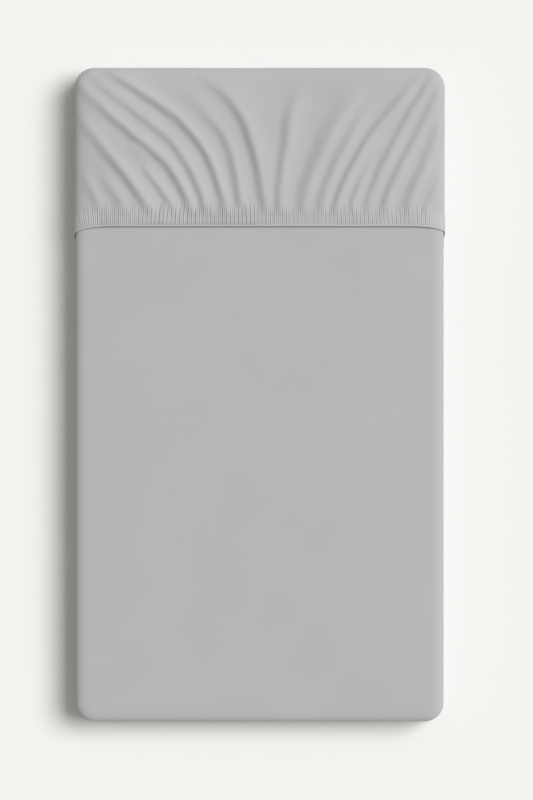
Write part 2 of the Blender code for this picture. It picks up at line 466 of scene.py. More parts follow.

# %% [markdown]
# ## The folds of the pocket
# The hem pulls the cloth towards the two corners, so long soft folds fan out from it. A cloth
# simulation makes folds too, but not these ones in these places. Each fold is listed one by one: a
# line of points with a height at each, a steep side along that line, a soft crest, and a side that
# eases away towards +X.

# %% Table of folds, in millimetres: x, y and height of each point
Fold = namedtuple("Fold", "steep ease points")
FOLDS = (
    Fold(8, 9, (
        (-241, 296, 0.7), (-235, 282, 2.2), (-224.5, 261, 2.5), (-218, 248.5, 1.9),
        (-212, 238, 0.5))),
    Fold(9, 10, (
        (-219, 300, 0.2), (-210, 285, 1.9), (-199, 269, 3.1), (-190, 255, 2.8), (-184, 240, 1.0))),
    Fold(9, 13, (
        (-251, 377, 0.8), (-231, 352, 3.2), (-205.5, 320, 5.0), (-185.5, 296, 5.8),
        (-167.5, 271, 5.5), (-155, 252.5, 3.8), (-149, 239, 0.8))),
    Fold(7, 9, (
        (-164, 311, 0.2), (-156, 300, 2.6), (-138, 278, 4.0), (-125, 259, 3.7), (-117, 241, 0.7))),
    Fold(8, 12, (
        (-258, 430, 1.4), (-242, 411, 2.2), (-220, 390, 3.4), (-195, 367, 4.9), (-166, 343, 5.4),
        (-128, 309, 5.6), (-105.5, 272, 5.5), (-97, 252, 3.2), (-91, 239, 0.8))),
    Fold(9, 11, (
        (-230, 427, 0.9), (-207, 407, 2.7), (-181.5, 388.5, 3.4), (-153, 365.5, 4.1),
        (-126, 343.5, 4.3), (-106, 316.5, 4.8), (-91, 289.5, 5.4), (-80.5, 262.5, 5.0),
        (-76, 240, 1.2))),
    Fold(8.5, 9, (
        (-226, 448, 1.2), (-203, 432, 2.8), (-176, 415, 4.8), (-148.5, 397, 5.7), (-110, 368, 5.9),
        (-79.5, 331.5, 6.0), (-66, 304, 5.6), (-56.5, 275, 5.3), (-50.5, 256, 3.5),
        (-48, 240, 0.9))),
    Fold(9, 11, (
        (-98, 398, 0.5), (-76, 376, 2.4), (-55, 353, 3.6), (-43, 327.5, 4.1), (-35.5, 297, 4.4),
        (-31.5, 270, 4.4), (-28, 252, 2.5), (-25.5, 240, 0.7))),
    Fold(9, 24, (
        (-85.5, 432, 0.3), (-71.5, 420, 2.0), (-49.5, 403, 4.3), (-27, 373.5, 5.5),
        (-13, 335.5, 6.3), (-5.0, 306, 5.6), (0.0, 275, 5.0), (4.5, 254, 3.8), (5.5, 240, 0.8))),
    Fold(11, 20, (
        (51.5, 424, 0.2), (46.5, 406.5, 1.7), (37.5, 379.5, 4.0), (33, 348.5, 5.3), (28, 318, 5.1),
        (23, 284, 5.5), (21.5, 256, 4.9), (22, 240, 1.8))),
    Fold(15, 13, (
        (129.5, 420, 0.5), (111, 391, 3.5), (93.5, 365, 4.7), (81, 339, 5.5), (68.5, 311.5, 5.7),
        (58.5, 284.5, 6.0), (51.5, 258, 3.7), (47, 240, 1.1))),
    Fold(12, 11, (
        (151.7, 405, 0.6), (129.2, 373, 2.7), (115.2, 345.5, 3.9), (100.2, 318, 4.8),
        (87.7, 290, 4.4), (79.2, 263, 4.2), (75.7, 242, 1.4))),
    Fold(8, 12, (
        (208.6, 427, 1.4), (190.6, 403, 4.0), (171.1, 380.5, 4.1), (150.6, 355.5, 4.6),
        (132.6, 328, 5.1), (118.1, 300.5, 5.1), (106.1, 274, 5.1), (100.6, 255, 3.9),
        (96.6, 240, 1.1))),
    Fold(9, 9, (
        (151.4, 322, 0.3), (139.4, 302, 2.5), (128.9, 279, 4.1), (120.4, 258, 3.0),
        (117.4, 241, 0.8))),
    Fold(8, 11, (
        (232.9, 432, 1.0), (218.4, 409.5, 4.0), (202.4, 385, 4.6), (186.9, 355.5, 3.9),
        (172.4, 327, 4.0), (159.9, 302, 3.9), (148.4, 276, 3.5), (142.9, 256, 2.4),
        (141.9, 240, 0.9))),
    Fold(9, 12, (
        (245.9, 424, 1.6), (233.9, 401.5, 3.6), (220.9, 374.5, 3.6), (208.4, 348.5, 4.0),
        (193.9, 321.5, 4.4), (181.9, 296.5, 4.4), (170.9, 272, 4.3), (165.9, 254.5, 3.4),
        (159.9, 240, 1.5))),
    Fold(12, 12, (
        (247.8, 384, 0.5), (235.8, 357, 3.5), (226.3, 333, 3.5), (216.3, 305, 4.7),
        (204.3, 279.5, 5.2), (196.3, 258, 3.7), (192.8, 241, 1.6))),
    Fold(11, 10, (
        (251.6, 316, 0.2), (237.6, 290, 2.1), (227.6, 267, 2.4), (219.6, 251, 2.0),
        (216.6, 240, 0.6))),
    Fold(18, 8, (
        (-106, 402, 0.6), (-88, 388, 1.6), (-70, 370, 1.4), (-58, 352, 0.4))),
    Fold(22, 9, (
        (-184, 338, 0.2), (-175, 325, 1.4), (-166, 313, 1.4), (-159, 303, 0.4))),
)
print("folds:", len(FOLDS))

# %% Soft lines through the points
LINE_STEPS = 12


def soft_line(points):
    """A smooth curve through the listed points, sampled finely."""
    knots = np.array(points) * MM
    knots = np.vstack([2 * knots[0] - knots[1], knots, 2 * knots[-1] - knots[-2]])
    t = np.linspace(0, 1, LINE_STEPS, endpoint=False)[:, None]
    parts = []
    for a, b, c, d in zip(knots, knots[1:], knots[2:], knots[3:]):
        bend = (2 * a - 5 * b + 4 * c - d) * t ** 2 + (3 * b - a - 3 * c + d) * t ** 3
        parts.append((2 * b + (c - a) * t + bend) / 2)
    return np.vstack(parts + [knots[-2:-1]])


fold_lines = [(fold, soft_line(fold.points)) for fold in FOLDS]
print("points along the first fold:", len(fold_lines[0][1]))

# %% [markdown]
# ### The shape across a fold
# Cut across, a real fold isn't a sine wave. It climbs steeply on the side where the cloth is
# pushed under, turns over a small round crest, and slides away slowly on the other side. Folds
# that run into each other are blended by a power mean, so that the higher one wins softly.

# %% Rise and fall across one fold
FLANK = 1.9
STEEPEST_AT, FLANK_BEND = 0.69, 1.5
CREST_AT = 0.36
CREST_SOFTNESS = 2.5 * MM
EASE = 0.62


def across_fold(fold, across):
    """Share of the fold's height at a distance across it."""
    steep, ease = fold.steep * FLANK * MM, fold.ease * EASE * MM
    climbed = np.clip(across / steep + STEEPEST_AT, 0, 1)
    after = np.maximum(across - CREST_AT * steep, 0.0)
    fall = np.exp(-(np.hypot(after, CREST_SOFTNESS) - CREST_SOFTNESS) / ease)
    return smooth_step(climbed ** FLANK_BEND) * fall


shares = across_fold(FOLDS[6], np.array([0, 10, 20]) * MM)
print("share of a fold's height on its line, 10 and 20 mm past it:", shares.round(2))

# %% Uneven waves, to take away the look of a drawn line
WAVES = 7


def uneven(x, y, shortest, longest, seed):
    """A sum of waves in all directions, between -WAVES and +WAVES and mostly near 0."""
    waves = np.random.default_rng(seed)
    total = np.zeros(np.shape(x))
    for _ in range(WAVES):
        angle, phase = waves.uniform(0, math.tau, 2)
        length = waves.uniform(shortest, longest)
        total += np.sin((x * math.cos(angle) + y * math.sin(angle)) * math.tau / length + phase)
    return total


print("waves at one place:", round(float(uneven(0.0, 0.3, 0.05, 0.12, seed=1)), 2))

# %% Height of all the folds at any place
BLEND_POWER = 3.0
END_START, END_FADE = 2 * MM, 14 * MM
WANDER, WANDER_SEED = 0.13 * MM, 3
WANDER_SHORT, WANDER_LONG = 16 * MM, 42 * MM


def fold_lift(x, y):
    """Height of all folds together at points x, y of the unrolled pocket."""
    total = np.zeros(len(x))
    wander = WANDER * uneven(x, y, WANDER_SHORT, WANDER_LONG, WANDER_SEED)
    for fold, line in fold_lines:
        go_x, go_y = np.gradient(line[:, 0]), np.gradient(line[:, 1])
        nearest = np.hypot(x[:, None] - line[:, 0], y[:, None] - line[:, 1]).argmin(axis=1)
        off_x, off_y = x - line[nearest, 0], y - line[nearest, 1]
        go_x, go_y = go_x[nearest], go_y[nearest]
        size = np.hypot(go_x, go_y)
        past = np.abs(off_x * go_x + off_y * go_y) / size
        end_fade = 1 - smooth_step((past - END_START) / END_FADE)
        height = np.maximum(line[nearest, 2], 0.0) * end_fade
        across = (off_y * go_x - off_x * go_y) / size + wander
        total += (height * across_fold(fold, across)) ** BLEND_POWER
    return total ** (1 / BLEND_POWER)


show("lift at three places", fold_lift(np.array([-0.10, 0.0, 0.12]), np.full(3, 0.35)))

# %% [markdown]
# ### Slack between the folds
# Cloth that is pulled only at its edge stands a little off the mattress in between. So the pocket
# swells softly away from the walls, and a few long low waves take away the look of a plain plane.

# %% Long soft waves
SOFT_HEIGHT, SOFT_SEED = 0.10 * MM, 5
SOFT_SHORT, SOFT_LONG = 50 * MM, 120 * MM


def softness(x, y):
    """A little unevenness of hand-pulled cloth, from a few long waves."""
    return SOFT_HEIGHT * uneven(x, y, SOFT_SHORT, SOFT_LONG, SOFT_SEED)


show("softness at the middle", softness(0.0, 0.3))

# %% Swell of the pocket
SWELL, SWELL_EASE = 3.4 * MM, 34 * MM
SWELL_START = EDGE_WIDTH / 4
SWELL_POWER = 1.4


def swell(x, y):
    """Loose cloth stands a little off the mattress, away from the walls."""
    from_side = np.maximum(HALF_WIDTH - np.abs(x) - SWELL_START, 0) / SWELL_EASE
    from_head = np.maximum(HEAD_Y - y - SWELL_START, 0) / SWELL_EASE
    return SWELL * (1 - np.exp(-from_side ** SWELL_POWER)) * (1 - np.exp(-from_head ** SWELL_POWER))


show("swell at the middle of the pocket", swell(0.0, 0.33))

# %% Everything that lifts the pocket off the mattress
EDGE_FADE = 15 * MM
WALL_SHARE = 0.05
WALL_CALM = 0.3


def pocket_lift(x, y, up, folded=1.0, filled=1.0):
    """Folds, swell and soft waves; the folds die out over the edge and down the wall."""
    shape = np.shape(x)
    inputs = (x, y, up, folded, filled)
    x, y, up, folded, filled = (np.ravel(np.broadcast_to(values, shape)) for values in inputs)
    on_face = smooth_step((up - ARC - WALL) / EDGE_FADE)
    on_wall = WALL_SHARE * smooth_step((up - ARC) / WALL)
    folds = folded * fold_lift(x, y) * (on_wall + (1 - WALL_SHARE) * on_face)
    calm = WALL_CALM + (1 - WALL_CALM) * on_face
    waves = folded * softness(x, y) * smooth_step(up / ARC) * calm
    return (folds + waves + filled * swell(x, y) * on_face).reshape(shape)


lifts = pocket_lift(np.zeros(2), np.array([0.34, 0.44]), np.array([RISE, ARC]))
show("lift on the face and on the wall", lifts)

# %% [markdown]
# ## The gathered hem as a band
# The edge is turned under and stitched over the elastic, so it stands proud and ends in a rolled
# bead of the same cloth. Rows of points run in from the edge: over the roll, across the gathers of
# the casing, and on to the cloth beyond, where the gathers fade one by one.

# %% Rows of the hem band, in millimetres
ROLL = (  # distance in from the edge, height of the cloth, share of the gathers' depth
    (0.00, -0.5, 0.00),
    (0.10, 1.6, 0.02),
    (0.35, 2.8, 0.03),
    (0.80, 3.25, 0.04),
    (1.50, 3.4, 0.05),
    (2.15, 3.2, 0.10),
    (2.70, 2.8, 0.55),
    (3.50, 2.7, 1.00),
    (10.0, 2.45, 1.00),
    (14.0, 2.05, 1.00),
    (18.0, 1.55, 1.00),
)
BEYOND = (  # share of the rest of the band, height of the cloth
    (0.22, 1.10),
    (0.45, 0.60),
    (0.70, 0.25),
    (1.00, 0.00),
)
BAND_ON_SKIRT, BAND_ON_POCKET = 24 * MM, 37 * MM
print("rows in the hem band:", len(ROLL) + len(BEYOND))

# %% Where each column of the band starts and which way it runs
on_left = column_along < hem_length[-1]
column_side = np.where(on_left, -1, 1)
column_run, column_up, along_run, along_up = np.empty((4, len(column_along)))
for side, mask, along in ((-1, on_left, column_along), (1, ~on_left, HEM_LOOP - column_along)):
    for target, values in zip((column_run, column_up, along_run, along_up), hem[side][1:]):
        target[mask] = np.interp(along[mask], hem[side][0], values)
print("columns on the upper face:", int((column_up > RISE).sum()))

# %% How the band changes where it comes over the side
BEND_START, BEND_END = 8 * MM, 6 * MM
LEAN_AT_ENDS = 0.12
TIGHT = 0.8
BAND_SPARE = 2 * MM
over = smooth_step((column_up - HEM_UP) / (RISE - HEM_UP))
leaving_wall = 1 - smooth_step((column_up - ARC - WALL - BEND_END) / ARC)
tightness = 1 - TIGHT * smooth_step((column_up - HEM_UP) / BEND_START) * leaving_wall
band_width = BAND_ON_SKIRT + (BAND_ON_POCKET - BAND_ON_SKIRT) * over
end_lean = LEAN_AT_ENDS * over * (MIDDLE_UP - column_up) / MIDDLE_UP
column_lean = -column_side * per_column(sway) - end_lean
fade_end = np.minimum(per_column(reach), band_width - BAND_SPARE)
ridge = gather_dome() + per_column(valley)
print("tightest at the bend:", round(float(tightness.min()), 2), "of the full height")

# %% One row of the band
FADE_RUN = 8 * MM
CALM_START, CALM_RUN = 7 * MM, 17 * MM
FILL_RUN = 36 * MM


def band_row(inward, height, depth):
    """Points of one row, their place on the flat cloth, and their distances round and up."""
    run = column_run + (along_up - along_run * column_lean) * inward
    up = column_up - (along_run + along_up * column_lean) * inward
    flat = unrolled(column_side, run, up)
    faded = 1 - smooth_step((inward - fade_end + FADE_RUN) / FADE_RUN)
    folded = smooth_step((inward - CALM_START) / CALM_RUN)
    lift = (height * MM + ridge * depth * faded) * tightness
    lift = lift + pocket_lift(*flat, up, folded, smooth_step(inward / FILL_RUN))
    return slab_point(column_side, run, up, lift, sheet_waist(run, up)), *flat, run, up


show("hem starts at", band_row(0.0, *ROLL[0][1:])[0][0])

# %% Lay the band round the mattress
sheet_work = Patchwork([], [], [])
row_plan = [(inward * MM, height, depth) for inward, height, depth in ROLL]
last_inward = row_plan[-1][0]
rest = band_width - last_inward
row_plan += [(last_inward + rest * share, height, 1.0) for share, height in BEYOND]
row_parts = zip(*[band_row(*row) for row in row_plan])
places, flat_x, flat_y, runs, ups = (np.stack(part) for part in row_parts)
band = add_grid(sheet_work, places, (flat_x, flat_y))
close_ring(sheet_work, band)
edge_run, edge_up = runs[-1], ups[-1]
print("hem band, rows and columns:", band.shape)

# %% [markdown]
# ## The rest of the sheet
# Four more patches finish it: the pocket's upper face, the wrap that goes round the head end and
# down its walls, the turn under the mattress, and the flat panel there. A short seam closes the
# cloth at each head corner. It shows as a sunk line down the wall with a faint swell on both sides.

# %% Spacing of the patches
POCKET_STEP, WRAP_STEP, TURN_STEP, PANEL_STEP = 2.7 * MM, 3.1 * MM, 5 * MM, 25 * MM
STRIP = 2.6 * MM
PANEL_MARGIN = 12 * MM
WRAP_GAP, TURN_ROWS = 2.4 * MM, 6
BAND_FOOT_UP = HEM_UP - BAND_ON_SKIRT
WRAP_LOW = BAND_FOOT_UP + WRAP_GAP
TURN_UPS = np.linspace(BAND_FOOT_UP - STRIP, 0.0, TURN_ROWS)
show("wrap and turn start this far up", [WRAP_LOW, TURN_UPS[0]])

# %% Corner seams
SEAM_RUN = HALF_ROUND - FOOT_RUN - CORNER_RUN / 2
SEAM_DEPTH, SEAM_WIDTH = 0.6 * MM, 0.8 * MM
PUFF_SHARE, PUFF_AT, PUFF_WIDTH = 0.4, 2.0 * MM, 0.9 * MM
SEAM_END, END_RUN, START_RUN = 0.84 * RISE, 12 * MM, 6 * MM
SEAM_COLUMNS = np.array((-3.5, -2.0, -0.9, 0.0, 0.9, 2.0, 3.5)) * MM
SEAM_CLEAR = 1 * MM


def with_seam(runs):
    """Swap the evenly spaced columns near the corner seam for closer ones."""
    clear = runs[np.abs(runs - SEAM_RUN) > SEAM_COLUMNS[-1] + SEAM_CLEAR]
    return np.sort(np.concatenate([clear, SEAM_RUN + SEAM_COLUMNS]))


def seam_lift(run, up):
    """The stitched line, between the underside and the upper edge."""
    off = np.abs(run - SEAM_RUN)
    sunk = -SEAM_DEPTH * np.exp(-(off / SEAM_WIDTH) ** 2)
    puffed = PUFF_SHARE * SEAM_DEPTH * np.exp(-((off - PUFF_AT) / PUFF_WIDTH) ** 2)
    ends = smooth_step((SEAM_END - up) / END_RUN) * smooth_step((up - WRAP_LOW) / START_RUN)
    return (sunk + puffed) * ends


show("deepest point of a seam", seam_lift(SEAM_RUN, RISE / 2))

# %% Rows of the wrap, which start just inside the band on both sides
WARP_COLUMNS = 40
WRAP_MARGIN, WRAP_SPARE, HEM_BEND_Y = 20 * MM, 10 * MM, 0.12
wrap_ups = spaced(WRAP_LOW, RISE, WRAP_STEP)
steady = with_seam(spaced(run_at(HEAD_Y - CORNER_RADIUS - WRAP_MARGIN), HALF_ROUND, WRAP_STEP))
warp = np.linspace(0.0, 1.0, WARP_COLUMNS, endpoint=False)
halves, start_low = {}, {}
for side in (-1, 1):
    mine = (column_side == side) & (edge_up < RISE + WRAP_SPARE) & (edge_run > run_at(HEM_BEND_Y))
    order = np.argsort(edge_up[mine])
    start = np.interp(wrap_ups, edge_up[mine][order], edge_run[mine][order]) + STRIP
    near = start[:, None] + (steady[0] - start[:, None]) * warp
    halves[side] = np.hstack([near, np.tile(steady, (len(wrap_ups), 1))])
    start_low[side] = start[0]
print("half of the wrap, rows and columns:", halves[-1].shape)

# %% Lay the wrap round the head end
wrap_run, wrap_side = both_sides(halves[-1], halves[1])
wrap_up = np.tile(wrap_ups[:, None], (1, wrap_run.shape[1]))
wrap_flat = unrolled(wrap_side, wrap_run, wrap_up)
wrap_lift = pocket_lift(*wrap_flat, wrap_up) + seam_lift(wrap_run, wrap_up)
wrap_waist = sheet_waist(wrap_run, wrap_up)
wrap_places = slab_point(wrap_side, wrap_run, wrap_up, wrap_lift, wrap_waist)
wrap = add_grid(sheet_work, wrap_places, wrap_flat)
show("wrap stands off by up to", wrap_lift.max())

# %% Upper face of the pocket
pocket_x = spaced(-FLAT_X + STRIP, FLAT_X - STRIP, POCKET_STEP)
pocket_y = spaced(HEM_Y + BAND_ON_POCKET + STRIP, MIDDLE_Y + FLAT_Y - STRIP, POCKET_STEP)
pocket_x, pocket_y = np.meshgrid(pocket_x, pocket_y)
pocket_up = np.full(pocket_x.shape, RISE + ARC)
pocket_high = TOP + crown(pocket_x, pocket_y) + pocket_lift(pocket_x, pocket_y, pocket_up)
pocket = add_grid(sheet_work, np.stack([pocket_x, pocket_y, pocket_high], -1), (pocket_x, pocket_y))
show("highest fold", pocket_high.max())


# %% Turn under the mattress
def all_round(step, ups):
    """Columns all the way round the outline, with the same rows in each."""
    half = spaced(0.0, HALF_ROUND, step)
    runs, sides = (part[:-1] for part in both_sides(half, half))
    return runs, sides, np.tile(ups[:, None], len(runs))


turn_run, turn_side, turn_up = all_round(TURN_STEP, TURN_UPS)
turn_x, turn_y, turn_out_x, turn_out_y = outline(turn_run)
under = EDGE_WIDTH - turn_up
turn_flat = ((turn_x - turn_out_x * under) * -turn_side, turn_y - turn_out_y * under)
turn_waist = sheet_waist(turn_run, turn_up)
turn_places = slab_point(turn_side, turn_run, turn_up, squeeze=turn_waist)
turn = add_grid(sheet_work, turn_places, turn_flat)
close_ring(sheet_work, turn)
print("turn under, rows and columns:", turn.shape)


# %% The flat panel under the mattress
def flat_panel(work, height, margin, step):
    """A plain rectangle inside the flat part of a face."""
    x = spaced(-FLAT_X + margin, FLAT_X - margin, step)
    y = spaced(MIDDLE_Y - FLAT_Y + margin, MIDDLE_Y + FLAT_Y - margin, step)
    x, y = np.meshgrid(x, y)
    return add_grid(work, np.stack([x, y, height(x, y)], -1), (x, y))


panel = flat_panel(sheet_work, lambda x, y: np.zeros_like(x), PANEL_MARGIN, PANEL_STEP)
print("panel, rows and columns:", panel.shape)

# %% [markdown]
# ### Zipping the sheet together
# The patches leave strips between them. First come the columns where three patches meet, one on
# each side for the low end of the wrap, its high end and the turn. Between those, two rows of
# points face each other and are zipped.

# %% Find where three patches meet
low, high, foot = {}, {}, {}
for side, pick in ((-1, -1), (1, 0)):  # columns run up the -X side and back down the +X side
    mine = column_side == side
    high[side] = np.flatnonzero(mine & (edge_up >= RISE))[-1 - pick]
    below = mine & (edge_run <= start_low[side] - STRIP / 2) & (edge_up < WRAP_LOW)
    low[side] = np.flatnonzero(below)[pick]
    foot[side] = np.flatnonzero((turn_side == side) & (turn_run <= start_low[side]))[pick]
print("wrap meets the band at columns", low[-1], high[-1], high[1], low[1])

# %% Zip the band, the turn, the wrap and the pocket
inner, ring = band[-1], turn[0]
inner_closed, ring_closed = np.append(inner, inner[0]), np.append(ring, ring[0])
facing_rows = (
    (inner_closed[:low[-1] + 1], ring_closed[:foot[-1] + 1]),
    (inner_closed[low[1]:], ring_closed[foot[1]:]),
    (ring[foot[-1]:foot[1] + 1], wrap[0]),
    (inner[low[-1]:high[-1] + 1], wrap[:, 0]),
    (inner[high[1]:low[1] + 1][::-1], wrap[:, -1]),
    (inner[high[-1]:high[1] + 1], pocket[0]),
    (np.concatenate([pocket[:, 0], pocket[-1, 1:-1], pocket[::-1, -1]]), wrap[-1]),
)
for one, other in facing_rows:
    zip_edges(sheet_work, one, other)
print("faces so far:", len(sheet_work.faces))

# %% Close the last small gaps, and zip in the panel
for side, end in ((-1, 0), (1, -1)):
    sheet_work.faces.append((inner[low[side]], ring[foot[side]], wrap[0, end]))
    sheet_work.faces.append((inner[high[side]], wrap[-1, end], pocket[0, end]))
zip_round(sheet_work, panel, turn[-1])
sheet = sew_up(sheet_work, "gathered_fitted_sheet")

# %% [markdown]
# ### Thickness of the cloth
# The cloth is drawn as one surface, and a Solidify modifier gives it its thickness inwards. The
# rolled edge is too narrow inside for all of it, so a vertex group makes the cloth thinner there.

# %% Give the cloth its thickness
ROLLED_ROWS = slice(1, 5)
THIN_SHARE = 0.35
full_thickness = sheet.vertex_groups.new(name="full_thickness")
full_thickness.add(list(range(len(sheet.data.vertices))), 1.0, "REPLACE")
full_thickness.add(band[ROLLED_ROWS].ravel().tolist(), THIN_SHARE, "REPLACE")
thickness = sheet.modifiers.new("Cloth", "SOLIDIFY")
thickness.thickness = CLOTH
thickness.offset = -1.0
thickness.vertex_group = full_thickness.name
show("cloth, and cloth in the roll", [CLOTH, CLOTH * THIN_SHARE])

# %% [markdown]
# ## The mattress
# A foam slab in a plain cover, with a low crown and walls drawn in where the elastic grips them. A
# box with a bevel would do for it alone, but the sheet lies on it. So it is the same slab, moved in
# by the cloth and a breath of air.

# %% Shell of the mattress
INSIDE = CLOTH + AIR
COVER_STEP, COVER_ROW, FACE_STEP, FACE_MARGIN = 6 * MM, 2.9 * MM, 8 * MM, 6 * MM
mattress_work = Patchwork([], [], [])
cover_run, cover_side, cover_up = all_round(COVER_STEP, spaced(0.0, RISE, COVER_ROW))
cover_waist = waist(section(cover_up)[1])
cover_places = slab_point(cover_side, cover_run, cover_up, -INSIDE, cover_waist)
shell = add_grid(mattress_work, cover_places, unrolled(cover_side, cover_run, cover_up))
close_ring(mattress_work, shell)
print("shell, rows and columns:", shell.shape)

# %% Faces of the mattress
face = flat_panel(mattress_work, lambda x, y: TOP - INSIDE + crown(x, y), FACE_MARGIN, FACE_STEP)
base = flat_panel(mattress_work, lambda x, y: np.full_like(x, INSIDE), PANEL_MARGIN, PANEL_STEP)
zip_round(mattress_work, face, shell[-1])
zip_round(mattress_work, base, shell[0])
mattress = sew_up(mattress_work, "covered_mattress")

# %% [markdown]
# ## Materials
# Colours are written as sRGB hex, as a dye card gives them, and one function makes them linear.
# One function adds a node with its settings. Each input is a number, a colour, a node to link
# from, or a node with the name of its output. The shader that a material starts with is filled in
# the same way.

# %% Linear colour
def linear(code):
    """Linear colour with alpha from an sRGB hex code."""
    shares = [int(code[i:i + 2], 16) / 255 for i in (1, 3, 5)]
    return [c / 12.92 if c <= 0.04045 else ((c + 0.055) / 1.055) ** 2.4 for c in shares] + [1.0]


print("mid grey of the cloth, linear:", [round(v, 3) for v in linear("#B3B3B3")[:3]])


# %% Add a node, and fill the inputs of a node
def fill_inputs(node, inputs):
    """Set each input to a value, or link it from another node."""
    for name, value in inputs.items():
        if isinstance(value, bpy.types.Node):
            value = (value, 0)
        if isinstance(value, tuple):
            node.id_data.links.new(value[0].outputs[value[1]], node.inputs[name])
        else:
            node.inputs[name].default_value = value


def add_node(tree, kind, settings, inputs):
    """Add a node, set its properties, and fill its inputs."""
    node = tree.nodes.new(kind)
    for name, value in settings.items():
        setattr(node, name, value)
    fill_inputs(node, inputs)
    return node


def new_shader(thing, name):
    """Give an object a material, and return the shader that the material starts with."""
    material = bpy.data.materials.new(name)
    material.use_nodes = True
    thing.data.materials.append(material)
    print(thing.name, "is", name)
    return material.node_tree.nodes["Principled BSDF"]


print("materials so far:", len(bpy.data.materials))

# %% [markdown]
# ### Knitted stitches
# A knit is columns of small V stitches. Real jersey has them about 0.7 mm apart and 0.55 mm high,
# which is finer than one pixel of the picture, so they are drawn twice as coarse. The cloth's own
# flat map is in metres, so the pattern keeps its real direction over folds and walls.

# %% Height of the stitches
MATHS = "ShaderNodeMath"
JERSEY_WALE, JERSEY_COURSE = 1.4 * MM, 1.1 * MM
LOOP_SHARE = 0.3


def knit_height(tree, wale, course):
    """V stitches: two leaning legs in each column, rounded across and looped along."""
    cloth_map = add_node(tree, "ShaderNodeUVMap", {"uv_map": "cloth"}, {})
    place = add_node(tree, "ShaderNodeSeparateXYZ", {}, {0: cloth_map})
    column = add_node(tree, MATHS, {"operation": "DIVIDE"}, {0: (place, "X"), 1: wale})
    row = add_node(tree, MATHS, {"operation": "DIVIDE"}, {0: (place, "Y"), 1: course})
    leg = add_node(tree, MATHS, {"operation": "PINGPONG"}, {0: column, 1: 0.5})
    slant = add_node(tree, MATHS, {"operation": "ADD"}, {0: row, 1: leg})
    loop_turn = add_node(tree, MATHS, {"operation": "MULTIPLY"}, {0: slant, 1: math.tau})
    loop = add_node(tree, MATHS, {"operation": "SINE"}, {0: loop_turn})
    leg_turn = add_node(tree, MATHS, {"operation": "MULTIPLY"}, {0: leg, 1: math.tau})
    round_leg = add_node(tree, MATHS, {"operation": "SINE"}, {0: leg_turn})
    loops = add_node(tree, MATHS, {"operation": "MULTIPLY_ADD"},
                     {0: loop, 1: LOOP_SHARE, 2: 1 - LOOP_SHARE})
    height = add_node(tree, MATHS, {"operation": "MULTIPLY"}, {0: round_leg, 1: loops})
    return cloth_map, height


print("columns of stitches in 100 mm:", round(100 * MM / JERSEY_WALE))

# %% [markdown]
# ### Dye and stitches together
# Piece dyeing gives one even colour, so what is left is small: a soft mottle from the yarn, and
# painted shade between the stitches, a slightly deeper grey where less light gets in. A picture of
# cloth would blur close up, so noise and the stitches make the colour. Both knits are matt with a
# soft sheen.

# %% Colour and bump of a dyed knit
CLOUD_SCALE, FIBRE_SCALE = 9.0, 900.0
FIBRE_SHARE, STITCH_SHADE_SHARE = 0.5, 0.35
TONE_LOW, TONE_HIGH = 0.5, 1.3


def dye_and_knit(thing, name, deep_hex, pale_hex, wale, course, depth, strength):
    """Give an object knit stitches, painted shade between them, and the faint mottle of dyed yarn.
    """
    shader = new_shader(thing, name)
    tree = shader.id_data
    cloth_map, height = knit_height(tree, wale, course)
    cloudy = add_node(tree, "ShaderNodeTexNoise", {}, {"Vector": cloth_map, "Scale": CLOUD_SCALE})
    fibre = add_node(tree, "ShaderNodeTexNoise", {}, {"Vector": cloth_map, "Scale": FIBRE_SCALE})
    yarn = add_node(tree, MATHS, {"operation": "MULTIPLY_ADD"},
                    {0: fibre, 1: FIBRE_SHARE, 2: cloudy})
    # painted shade: where the stitches are low, the grey is deeper
    mottle_and_stitch_shade = add_node(tree, MATHS, {"operation": "MULTIPLY_ADD"},
                    {0: height, 1: STITCH_SHADE_SHARE, 2: yarn})
    spread = add_node(tree, "ShaderNodeMapRange", {},
                      {"Value": mottle_and_stitch_shade, "From Min": TONE_LOW, "From Max": TONE_HIGH})
    dye_and_stitch_shade = add_node(tree, "ShaderNodeValToRGB", {}, {"Fac": spread})
    dye_and_stitch_shade.color_ramp.elements[0].color = linear(deep_hex)
    dye_and_stitch_shade.color_ramp.elements[1].color = linear(pale_hex)
    bump = add_node(tree, "ShaderNodeBump", {},
                    {"Height": height, "Strength": strength, "Distance": depth})
    fill_inputs(shader, {"Base Color": dye_and_stitch_shade, "Normal": bump, "Metallic": 0.0,
                         "Specular IOR Level": 0.25, "Sheen Roughness": 0.5})
    return shader


show("mottle and fibre", [1 / CLOUD_SCALE, 1 / FIBRE_SCALE])

# %% [markdown]
# ### Combed cotton jersey, piece-dyed grey
# Combing takes out the short fibres and knitting leaves the rest as soft loops. They scatter light,
# so jersey looks matt, with a soft sheen at grazing angles. Cotton fibre has an IOR of 1.53.

# %% Finish the sheet
COTTON_IOR = 1.53
JERSEY_DEPTH, JERSEY_STRENGTH = 0.12 * MM, 0.5
jersey_shader = dye_and_knit(sheet, "combed_cotton_jersey", "#AFAFAF", "#B7B7B7",
                             JERSEY_WALE, JERSEY_COURSE, JERSEY_DEPTH, JERSEY_STRENGTH)
fill_inputs(jersey_shader, {"IOR": COTTON_IOR, "Roughness": 0.9, "Sheen Weight": 0.10})
